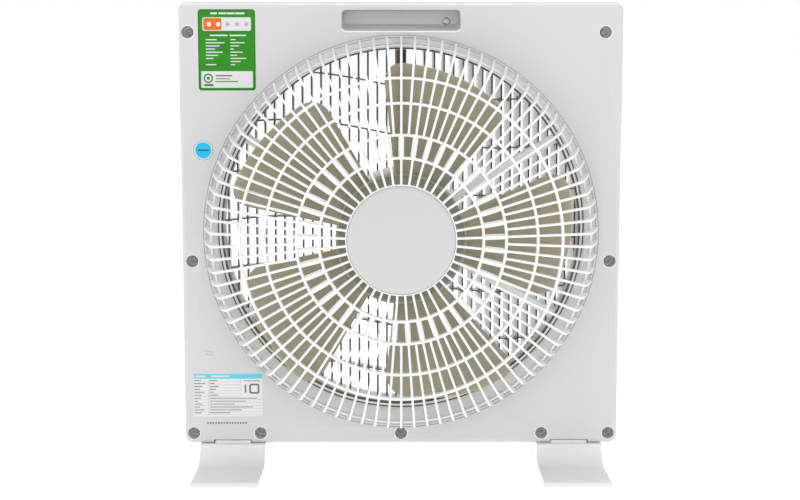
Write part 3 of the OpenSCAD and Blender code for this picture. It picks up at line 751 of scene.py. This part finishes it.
def make_rotor():
    # The hub's section: boss, plate, rounded shoulder, side wall and rear rim, and back along the inside
    hub = Shape().lathe(
        [(4.3, 34), (9, 34), (9.5, 34.5), (9.5, 42), (52, 42), (56, 42.8), (59, 45), (60.6, 48.5),
         (63, 60), (HUB_R - 0.4, 87.4), (HUB_R - 1, 88), (HUB_R - 1.8, 88), (HUB_R - 2.2, 87.5), (60.8, 60),
         (58.4, 48), (56.5, 45.8), (53.4, 44.4), (9.5, 44.4), (9.5, 49.2), (4.3, 49.2)]).object("rotor")
    blades = Shape()
    for i in range(BLADES):
        make_blade(blades, FIRST_BLADE + i * 360 / BLADES)
    fuse(hub, blades)
    rib = (8.5, 44), (54, 44), (58.5, 47.5), (56, 50), (8.5, 47.5)
    fuse(hub, many([Shape().loft([[around(r, u, y, a) for r, y in rib] for u in (-0.8, 0.8)], False)
                    for a in range(30, 390, 60)]))
    # The slot in the boss that the drive pin lies in
    cut(hub, Shape().box(-10, 10, 45.4, 50.4, AXIS_Z - 1.6, AXIS_Z + 1.6))
    mark_rim_highlights(hub)
    place(hub, "rotor", "rotor_khaki", [KHAKI, HUB_LIT], "fan_rotor")
    # Faces of the hub inside its outer wall get the paler, glowing khaki: painted light.
    for p in hub.data.polygons:
        p.material_index = int(math.hypot(p.center.x, p.center.z - AXIS_Z * MM) < (HUB_R - 1.5) * MM)


# ---------- spider, track and leads ----------

def make_spider():
    y0, y1 = SPIDER_Y
    inside, wall_r, face = SPIDER_R - 3.3, HOUSING_R - 2.5, y1 + 4
    profile = [(inside, y0), (SPIDER_R, y0), (SPIDER_R, y1), (inside + 0.4, y1), (inside, y1 - 0.4)]
    ring = Shape().lathe(profile).object("spider")
    # The gear motor's housing: a side wall, a rounded rear edge and a rear face
    housing = [(wall_r, y0), (HOUSING_R, y0), (HOUSING_R, y1 - 0.5), (HOUSING_R - 0.6, y1 + 1)]
    housing += [(HOUSING_R - 1.2, face - 0.6), (HOUSING_R - 2, face), (50, face), (48, face - 0.6)]
    fuse(ring, Shape().lathe(housing + [(0, face - 0.6), (0, y1 - 2), (wall_r, y1 - 2)]))
    # Each arm widens at both ends and has a groove along its rear face
    half = ARM_W / 2
    edge = [(HOUSING_R - 2, half + 3), (HOUSING_R + 3, half + 0.8), (HOUSING_R + 7, half),
            (SPIDER_R - 12, half), (SPIDER_R - 8, half + 0.5), (SPIDER_R - 4.5, half + 2),
            (SPIDER_R - 1.5, half + 6)]
    plan = edge + [(r, -w) for r, w in reversed(edge)]
    angles = [30 + 360 / ARMS * i for i in range(ARMS)]
    insets = (0.8, y0 + 0.2), (0, y0 + 1), (0, y1 - 0.8), (0.7, y1 - 0.1)
    for angle in angles:
        fuse(ring, Shape().loft([[around(r, w - math.copysign(inset, w), y, angle) for r, w in plan]
                                 for inset, y in insets]))
    groove = (-0.7, 0), (0.7, 0), (0.35, y1 - 1.3), (-0.35, y1 - 1.3)
    for angle in angles:
        cut(ring, Shape().loft([[around(r, w, y, angle) for w, y in groove]
                                for r in (HOUSING_R + 5, SPIDER_R - 8)], False))
    # The spider gets the brighter, glowing white: painted light.
    place(ring, "case", "case_white", SPIDER_LIT, "front_spider")


def make_track():
    """The ring that the louver runs in, near-black brown as painted shade; its shallow groove gets the
    brighter glowing white, painted light that shows as two thin lines
    """
    y0, y1 = TRACK_Y
    profile = [(TRACK_R, y0), (COLLAR_R, y0), (COLLAR_R, y1), (188.2, y1), (187.8, y1 - 0.5),
               (186.2, y1 - 0.5), (185.9, y1), (TRACK_R + 0.3, y1), (TRACK_R, y1 - 0.3)]
    track = Shape().lathe(profile).object("track")
    place(track, "case", "dark_plastic", [TRACK_SHADE, WHITE_LIT], "louver_track")
    # The groove's rear faces get the glowing white: painted light.
    for p in track.data.polygons:
        r = math.hypot(p.center.x / MM, p.center.z / MM - AXIS_Z)
        p.material_index = int(GROOVE_R[0] < r < GROOVE_R[1] and p.center.y > 0)


def make_leads(lead_r=1.95, steps=24, sway=0.45):
    """The gear motor's two leads, side by side from its housing up to the track, each a little uneven"""
    z0, z1 = AXIS_Z + HOUSING_R, AXIS_Z + TRACK_R - 0.6
    for colour, x, share, mat in (("brown", 2.5, 1, BROWN_LEAD), ("black", -2.5, -0.4, BLACK_LEAD)):
        loops = []
        for k in range(steps + 1):
            t = k / steps
            bend = sway * math.sin(2 * math.pi * t * 1.5 + x)
            loops.append([(x + bend * share + lead_r * cosd(a), lead_r * sind(a) - 0.95, mix(z0, z1, t))
                          for a in range(0, 360, 24)])
        lead = Shape().loft(loops).object(colour + "_lead")
        place(lead, "case", "lead_" + colour, mat, "louver_lead_" + colour)


# ---------- louver ----------

def tilt_at(x):
    """Tilt of a slat, which grows towards one side of the disc"""
    return 0 if x > -8 else min(1, (-8 - x) / 80) * SLAT_TILT


def wave_at(x):
    """Height of the cross ribs' wave"""
    return WAVE_H * cosd(360 * (x - WAVE_X) / WAVE_W) - 6


def make_slats():
    """Upright slats with rounded edges, each a little longer than the disc is high there"""
    slats = Shape()
    section = [(-0.85, -7), (0.85, -7), (1.0, -6.6), (1.05, 0), (1.0, 6.6), (0.75, 7), (-0.75, 7),
               (-1.0, 6.6), (-1.05, 0), (-1.0, -6.6)]
    for i in SLATS:
        x = (i + 0.5) * SLAT_PITCH
        c, s = cosd(tilt_at(x)), sind(tilt_at(x))
        height = math.sqrt(max(LOUVER_R ** 2 - (abs(x) + 1) ** 2, 100))
        slats.loft([[(x + u * c - v * s, SLAT_Y + u * s + v * c, AXIS_Z + z) for u, v in section]
                    for z in (-height, height)], False)
    return slats


def make_cross_ribs():
    ribs = Shape()
    y0, y1 = SLAT_Y - SLAT_D / 2 + 1.5, SLAT_Y + SLAT_D / 2 - 0.6
    section = (y0, -0.9), (y1 - 0.4, -0.95), (y1, -0.6), (y1, 0.6), (y1 - 0.4, 0.95), (y0, 0.9)
    for k in CROSS_RIBS:
        middle = AXIS_Z + CROSS_PITCH * k
        ribs.loft([[(x, y, middle + wave_at(x) + dz) for y, dz in section] for x in range(-195, 196, 5)])
    return ribs


def make_gussets(size=2.6):
    """A small diamond where a slat and a cross rib meet"""
    gussets = Shape()
    for k in CROSS_RIBS:
        for i in SLATS:
            x = (i + 0.5) * SLAT_PITCH
            z = AXIS_Z + CROSS_PITCH * k + wave_at(x)
            if math.hypot(x, z - AXIS_Z) < LOUVER_R - 6:
                gussets.loft([[(x + u, y, z + w) for u, w in ((-size, 0), (0, -size), (size, 0), (0, size))]
                              for y in (SLAT_Y - 3, SLAT_Y + 5.4)], False)
    return gussets


def make_louver():
    y0, y1 = LOUVER_Y
    disc = make_slats().object("louver")
    fuse(disc, make_cross_ribs())
    fuse(disc, make_gussets())
    # Slats and ribs end in the rim and in the hub's wall
    inner, outer = LOUVER_HUB_R - 1, LOUVER_R - 2
    combine("INTERSECT", disc, Shape().lathe([(inner, -52), (outer, -52), (outer, -20), (inner, -20)]))
    rim_in, wall_in = LOUVER_R - 3.5, LOUVER_HUB_R - 2.5
    rim = [(rim_in, y0 + 0.5), (rim_in + 0.5, y0), (LOUVER_R - 0.5, y0), (LOUVER_R, y0 + 0.5),
           (LOUVER_R, y1 - 0.4), (LOUVER_R - 0.4, y1), (rim_in + 0.4, y1), (rim_in, y1 - 0.4)]
    wall = [(wall_in, y0), (LOUVER_HUB_R, y0), (LOUVER_HUB_R, y1 - 0.5), (LOUVER_HUB_R - 0.5, y1),
            (wall_in + 0.5, y1), (wall_in, y1 - 0.5)]
    # The hub's plate, with the boss that takes the shaft
    bore_r, boss_r, front, rear = 3, 8, y0 + 2.5, y0 + 5
    plate = [(bore_r, front), (inner, front), (inner, rear), (boss_r + 0.6, rear), (boss_r, rear + 0.6),
             (boss_r, y1 - 2.4), (boss_r - 0.4, y1 - 2), (bore_r, y1 - 2)]
    for profile in (rim, wall, plate):
        fuse(disc, Shape().lathe(profile))
    place(disc, "louver", "louver_white", [LOUVER, LOUVER_EDGE_SHADE], "louver_disc")
    # The rear edges of the slats and ribs inside the rim get the near-black material: painted shade.
    for p in disc.data.polygons:
        r = math.hypot(p.center.x, p.center.z - AXIS_Z * MM)
        is_rear_edge = p.normal.y > 0.8 and p.center.y > (SLAT_Y + 4.5) * MM
        p.material_index = int(is_rear_edge and r < (LOUVER_R - 3.2) * MM)

    cap = Shape().lathe([(0, -49.6), (20, -49.55), (38, -49.3), (48, -48.7), (51.5, -47.9), (53.6, -46.6),
                         (54.5, -45), (54.5, -43.5), (52.5, -43.5), (52.5, -45.2), (50.5, -46.8), (0, -47.4)],
                        120, closed=False).object("louver_face")
    for r in (30, 37, 44):
        cut(cap, Shape().lathe([(r - 0.4, -52), (r + 0.4, -52), (r + 0.25, -49.0), (r - 0.25, -49.0)], 120))
    place(cap, "louver", "louver_white", CAP, "louver_cap")


# ---------- controls ----------

def make_knob(name, p, body, node, n=144):
    """A fluted knob with a skirt, a stem and a mark in front of its face"""
    base, top = FRONT_Y - 2, FRONT_Y - 2 - KNOB_H

    def loop(inset, y, depth=0.0):
        out = []
        for i in range(n):
            a = 360 * i / n
            r = KNOB_R - inset - depth * (0.5 + 0.5 * cosd(FLUTES * a)) ** 2
            out.append((p[0] + r * cosd(a), y, p[1] + r * sind(a)))
        return out
    steps = [(1.4, base), (0.4, base - 0.4), (0, base - 1), (0, base - 2), (0.8, base - 2.6, 0.8),
             (1.4, top + 2.2, 0.9), (2, top + 0.8, 0.6), (2.8, top + 0.2, 0.1), (3.6, top), (4.4, top + 0.5),
             (KNOB_R - 6, top + 0.8)]
    knob = Shape().loft([loop(*step) for step in steps]).object(name)
    fuse(knob, rod(p, 3, FRONT_Y + 12, base - 1))
    mark = Shape().box(p[0] - 0.45, p[0] + 0.45, top - 1.15, top - 1.05, p[1] + 4, p[1] + 15.2)
    place(knob, body, "grey_plastic", GREY, node)
    place(mark.object(name + "_mark"), body, "dark_plastic", INK)


def make_controls():
    make_knob("timer_dial", CONTROLS[0], "timer", "timer_knob")
    make_knob("speed_dial", CONTROLS[1], "speed", "speed_knob")
    top, back = FRONT_Y - 6, FRONT_Y + 5
    profile = [(0, top + 0.4), (3.5, top + 0.3), (5, top), (5.9, top + 0.2), (6.4, top + 0.8),
               (6.5, top + 2), (6.5, back), (3, back), (3, back + 9), (0, back + 9)]
    button = Shape().lathe(profile, 64, CONTROLS[2], closed=False).object("button")
    place(button, "button", "grey_plastic", GREY, "louver_button")

    # The panel follows the hull of a circle round each control
    reach = 24.0
    pts = []
    for a in range(0, 360, 2):
        best = max(CONTROLS, key=lambda c: c[0] * cosd(a) + c[1] * sind(a))
        pts.append((best[0] + reach * cosd(a), best[1] + reach * sind(a)))
    panel = Shape().plate(pts, FRONT_Y, FRONT_Y - 1, 0.6).object("control_plate")
    cut(panel, many([rod(c, r, FRONT_Y - 3, FRONT_Y + 3, 40) for c, r in zip(CONTROLS, CONTROL_BORES)]))
    place(panel, "case", "grey_plastic", PANEL, "control_panel")
    ticks = Shape()
    for c, sweep, count in ((CONTROLS[0], TIMER_SWEEP, 11), (CONTROLS[1], SPEED_SWEEP, 4)):
        for i in range(count):
            a = UP - sweep * i / (count - 1)
            ticks.loft([[(c[0] + r * cosd(a) - u * sind(a), y, c[1] + r * sind(a) + u * cosd(a))
                         for r, u in ((20, -0.5), (22.6, -0.5), (22.6, 0.5), (20, 0.5))]
                        for y in (FRONT_Y - 0.9, FRONT_Y - 1.06)], False)
    place(ticks.object("dial_marks"), "case", "label_white", PAPER)


# ---------- feet ----------

def foot_outline():
    """The foot seen from the side, in Y and Z"""
    r, half = FOOT_H - TOE_T, REAR_Y + 3
    side = [(half, FOOT_H)] + arc(half + r, FOOT_H, r, 180, 262, 14)
    side += [(TOE_Y - 12, TOE_T + 0.25), (TOE_Y - 4, TOE_T + 0.1), (TOE_Y - 1.4, TOE_T - 0.4),
             (TOE_Y - 0.3, TOE_T - 1.6), (TOE_Y, TOE_T - 3), (TOE_Y, 0.6), (TOE_Y - 0.6, 0)]
    return side + [(-y, z) for y, z in reversed(side)]


def make_foot(name, node, x):
    outline = foot_outline()
    foot = Shape().loft([[(x + s * FOOT_W / 2, y, z) for y, z in outline] for s in (-1, 1)]).object(name)
    bevel(foot, 1.1, 3, 50)
    # The tab that slides into the case, with a small chamfer at its ends
    ends = (-40, 0.3), (-39.5, 0), (REAR_Y - 1.2, 0), (REAR_Y - 0.7, 0.5)
    fuse(foot, Shape().loft([[(x + sx * (TAB_W / 2 - inset), y, FOOT_H - 1 + dz) for sx, dz in
                              ((-1, 0), (1, 0), (1, TAB_H + 0.6 - inset), (-1, TAB_H + 0.6 - inset))]
                             for y, inset in ends], False))
    pockets = many([Shape().box(x + sx * 15.5 - 13, x + sx * 15.5 + 13, y - 14.5, y + 14.5, -1, 19)
                    for sx in (-1, 1) for y in (-34, 0, 34)])
    cut(foot, pockets)
    # Screw posts, with a counterbore from below and a clearance hole
    for y in (-22, 22):
        cx = x + math.copysign(25, x)
        fuse(foot, post(cx, y, 7, 0, FOOT_H - 0.5))
        cut(foot, post(cx, y, 4.2, -1, 14), post(cx, y, CLEAR_R, -1, FOOT_H + 2))
    place(foot, "case", "case_white", [FOOT, WHITE_LIT], node)
    # Side faces on the inner half of each foot get the brighter, glowing white: painted light.
    for p in foot.data.polygons:
        p.material_index = int(abs(p.normal.x) > 0.9 and abs(p.center.x) / MM < FOOT_X)


# ---------- screws, labels and the cord outlet ----------

def screw_shape(p, y, length):
    """A pan-head screw whose head sits on y"""
    head = [(0, y + 2.4), (1.2, y + 2.36), (2.4, y + 2.1), (3.2, y + 1.5), (HEAD_R, y + 0.5), (HEAD_R, y)]
    shank = [(SCREW_R, y), (SCREW_R, y - length + 2), (0.3, y - length), (0, y - length)]
    return Shape().lathe(head + shank, 40, p, closed=False)


def cross_cut(p, y):
    """The two tapered slots of a cross recess"""
    return [Shape().loft([[(p[0] + a * k * sx, depth, p[1] + b * k * sz)
                           for sx, sz in ((-1, -1), (1, -1), (1, 1), (-1, 1))]
                          for depth, k in ((y + 3, 1), (y + 0.9, 0.55))], False)
            for a, b in ((2.3, 0.45), (0.45, 2.3))]


def make_screws():
    for name, places, y, length, mat, node in (
            ("cover_screws", WELLS, SEAM_Y + 2, 18, SCREW, "case_screws"),
            ("recess_screw", [(HANDLE_SCREW_X, RECESS_Z)], REAR_Y - RECESS_D, 12, ZINC, "handle_screw")):
        screws = many([screw_shape(p, y, length) for p in places]).object(name)
        for k in (0, 1):
            cut(screws, many([cross_cut(p, y)[k] for p in places]))
        place(screws, "case", "steel", mat, node)


def make_label(name, node, slot, body_radius, base, patches, mats):
    """A printed label: a thin plate with patches of ink on it. A patch is (left, top, right, bottom, ink),
    in millimetres from the label's top left corner as seen from behind, where ink is the place of its
    material in mats. Two more values may give its corner radius and how far it stands off the label."""
    (x0, y0, z0), (x1, y1, z1) = box_mm(node)
    shape = Shape()
    face = y1 - 0.06
    shape.plate(rounded(x1 - x0, z1 - z0, body_radius, 8, (x0 + x1) / 2, (z0 + z1) / 2), y0, face, 0.1)
    slots = [base] * len(shape.faces)
    for left, top, right, bottom, ink, *rest in patches:
        corner, lift = (*rest, *(0.15, 0.02)[len(rest):])
        w, h = right - left, bottom - top
        shape.plate(rounded(w, h, min(corner, w / 2.05, h / 2.05), 6 if corner > 0.2 else 2,
                            x1 - (left + right) / 2, z1 - (top + bottom) / 2), face - 0.1, face + lift)
        slots += [ink] * (len(shape.faces) - len(slots))
    made = place(shape.object(name), "case", slot, mats, node)
    made.data.polygons.foreach_set("material_index", slots)


def bar_length(i, low, high):
    """Uneven lengths for the bars that stand in for lines of print"""
    return mix(low, high, (i * 0.618 + 0.31) % 1)


def make_energy_label():
    green = [(1.2, 1.2, 54.8, 77.8, 0, 2.4, 0.01)]
    green += [(12.3 + 8 * i, 3.0, 18.8 + 8 * i + i, 4.8, 2) for i in range(4)]
    green += [(4.4, 7.7, 52.0, 20.8, 2, 1.8, 0.02), (5.4, 8.4, 23.2, 20.1, 3, 1.2, 0.03)]
    green += [(8.6 + 9.2 * i, 12.3, 12.9 + 9.2 * i, 16.6, 2 if i < 2 else 5, 2.1, 0.04) for i in range(5)]
    green += [(11.5, 24.6, 29, 26.0, 2), (31, 24.6, 47, 26.0, 2)]
    for i in range(9):
        v = 28.9 + 3.05 * i
        if i != 7:
            green.append((7.5, v, 7.5 + bar_length(i, 7, 19), v + 1.1, 2))
        green.append((31.6, v, 31.6 + bar_length(i + 3, 3, 17), v + 1.0, 2))
    green += [(2.7, 60.2, 53.3, 76.4, 2, 0.8, 0.02), (4.8, 62.4, 14.2, 71.8, 0, 4.7, 0.03),
              (6.3, 63.9, 12.7, 70.3, 2, 3.2, 0.04), (7.9, 65.5, 11.1, 68.7, 0, 1.6, 0.05),
              (5.2, 72.6, 14.6, 75, 4, 0.4, 0.03), (16.8, 63.9, 33, 65.3, 4, 0.2, 0.03),
              (16.8, 67.1, 30.6, 68.1, 4, 0.2, 0.03), (16.4, 69.8, 39, 70.9, 0, 0.2, 0.03)]
    make_label("efficiency_label", "energy_label", "label_green", 3.0, 1, green,
               [GREEN, DEEP_GREEN, PAPER, ORANGE, INK, PALE_INK])


def make_rating_label():
    rating = [(0.3, 0.3, 69.2, 5.2, 1, 0.2, 0.02), (2.4, 1.9, 12, 3.6, 2, 0.2, 0.03),
              (17.5, 1.9, 36, 3.3, 2, 0.2, 0.03)]
    for i in range(6):
        v = 6.6 + 3.0 * i
        rating += [(0.6, v, 0.6 + bar_length(i, 5, 12), v + 0.8, 3),
                   (16.2, v, 16.2 + bar_length(i + 2, 4, 11), v + 0.8, 3), (0.3, v + 1.7, 47, v + 1.86, 3)]
    for i in range(6):
        v = 24.8 + 3.0 * i
        rating += [(0.6, v, 0.6 + bar_length(i + 5, 4, 11), v + 0.8, 3),
                   (16.2, v, 16.2 + bar_length(i + 1, 20, 50), v + 0.75, 3),
                   (0.3, v + 1.8, 69.2, v + 1.93, 3)]
    rating += [(14.8, 5.2, 14.95, 43, 3), (47.2, 5.2, 47.35, 23.5, 3), (50.5, 7, 67, 7.7, 3),
               (51.5, 11, 53, 19.4, 3, 0.3), (56, 10.2, 66.4, 20.6, 3, 2.2, 0.02),
               (57.8, 12, 64.6, 18.8, 0, 1.2, 0.03)]
    make_label("data_label", "rating_label", "label_white", 1.0, 0, rating, [PLAIN, CYAN, PAPER, INK])


def make_sticker(dots=28, middle=11, ring_r=9.6):
    """A blue disc with a bar across it, inside a ring of dots"""
    sticker = [(3.0, 3.0, 19.0, 19.0, 1, 7.8, 0.01), (5.6, 10.2, 16.4, 11.7, 2, 0.3, 0.03)]
    for i in range(dots):
        x, y = middle + ring_r * cosd(360 * i / dots), middle + ring_r * sind(360 * i / dots)
        sticker.append((x - 0.5, y - 0.5, x + 0.5, y + 0.5, 2, 0.45, 0.02))
    make_label("test_sticker", "round_sticker", "label_blue", 10.9, 0, sticker, [PAPER, SKY, BROWN_INK])


def make_stamps():
    """Two rows of dashes printed straight on the panel"""
    batch, stamp = Shape(), Shape()
    for i in range(15):
        x = 195 - 2.75 * i
        height = bar_length(i, 1.5, 2.1)
        batch.plate(rounded(1.7, height, 0.4, 2, x, 45.2), REAR_Y - 0.05, REAR_Y + 0.03)
    for row in (0, 1):
        for i in range(4 - row):
            stamp.plate(rounded(1.6, 1.3, 0.4, 2, 196.5 - 2.3 * i - 1.2 * row, 119.5 - 3.6 * row - 0.5 * i),
                        REAR_Y - 0.05, REAR_Y + 0.03)
    place(batch.object("batch_mark"), "case", "label_white", INK)
    place(stamp.object("stamp_mark"), "case", "label_white", PALE_INK)


def make_gland():
    """A grommet with a bore for the cord, a flange outside the case and a lip inside it"""
    (x0, y0, z0), (x1, y1, z1) = box_mm("cord_gland")
    cx, cy = (x0 + x1) / 2, (y0 + y1) / 2
    bore_r, neck_r, inside = 3.9, GLAND_HOLE_R - 0.1, FOOT_H + WALL
    profile = [(bore_r, z0 + 0.5), (4.4, z0), (8.6, z0), (9.3, z0 + 0.5), (9.5, z0 + 1.4), (9.2, z0 + 3),
               (neck_r, z0 + 3), (neck_r, inside), (8.5, inside), (8.3, z1 - 0.3), (7.6, z1), (4.4, z1),
               (bore_r, z1 - 0.5)]
    shape = Shape()
    loops = [[(cx + r * cosd(a), cy + r * sind(a), z) for a in range(0, 360, 8)] for r, z in profile]
    shape.strip(loops + [loops[0]])
    place(shape.object("cord_grommet"), "case", "grey_plastic", GREY, "cord_gland")


make_rear_cover()
make_front_case()
make_guard()
make_rotor()
make_spider()
make_track()
make_leads()
make_louver()
make_controls()
make_foot("foot_a", "foot_left", -FOOT_X)
make_foot("foot_b", "foot_right", FOOT_X)
make_screws()
make_energy_label()
make_rating_label()
make_sticker()
make_stamps()
make_gland()

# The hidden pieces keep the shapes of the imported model
KEPT = {
    "motor_bracket": ZINC, "motor_rear_bell": ZINC, "motor_front_bell": ZINC, "motor_stator": LAMINATION,
    "motor_windings": COPPER, "rear_bearing": BRONZE, "front_bearing": BRONZE, "motor_core": LAMINATION,
    "motor_shaft": STEEL, "motor_screws": STEEL, "motor_lead": BLACK_LEAD, "run_capacitor": FILM,
    "drive_pin": STEEL, "rotor_nut": DARK, "louver_motor": GREY, "louver_shaft": STEEL, "timer_body": GREY,
    "speed_switch": DARK, "louver_switch": DARK, "foot_screws": ZINC,
}
for node, mat in KEPT.items():
    mesh = frame["nodes"][node].data
    mesh.materials.clear()
    mesh.materials.append(mat)


# ---------- camera, light and floor ----------

camera = add("camera", bpy.data.cameras.new("camera"))
bpy.context.scene.camera = camera
camera.data.sensor_width, camera.data.lens = 36, 54.31
camera.data.shift_y = -0.07
camera.data.clip_start, camera.data.clip_end = 0.05, 60
camera.location = (0.0054, 1.2429, 0.390)
PAN, DROP = -0.209, 5.387
look = Vector((sind(PAN) * cosd(DROP), -cosd(PAN) * cosd(DROP), -sind(DROP)))
camera.rotation_euler = look.to_track_quat("-Z", "Y").to_euler()


def area_light(name, where, target, size, power):
    """A round softbox that shows in no reflection"""
    data = bpy.data.lights.new(name, "AREA")
    data.shape, data.size, data.energy = "DISK", size, power
    made = add(name, data)
    made.location = where
    made.rotation_euler = (Vector(target) - Vector(where)).to_track_quat("-Z", "Y").to_euler()
    made.visible_glossy = False


area_light("key", (0.2, 2.3, 0.2), (0, 0, 0.15), 1.8, 6)
area_light("front", (-0.9, -2.2, 1.6), (0, 0, 0.3), 1.8, 8)

world = bpy.data.worlds.new("studio")
bpy.context.scene.world = world
world.use_nodes = True
background = world.node_tree.nodes["Background"]
put(background, "Color", (1, 1, 1, 1))
put(background, "Strength", 1.0)

FLOOR = material("floor", (0.90, 0.90, 0.90), 0.6, mottle=0.01, patch=3, grain=0.02, grain_size=2, glow=0.5)
ground = Shape()
ground.face([(sx * 9000, sy * 9000, 0) for sx, sy in ((-1, -1), (1, -1), (1, 1), (-1, 1))])
floor = ground.object("floor")
floor.data.materials.append(FLOOR)

bpy.context.scene.view_settings.view_transform = "Standard"
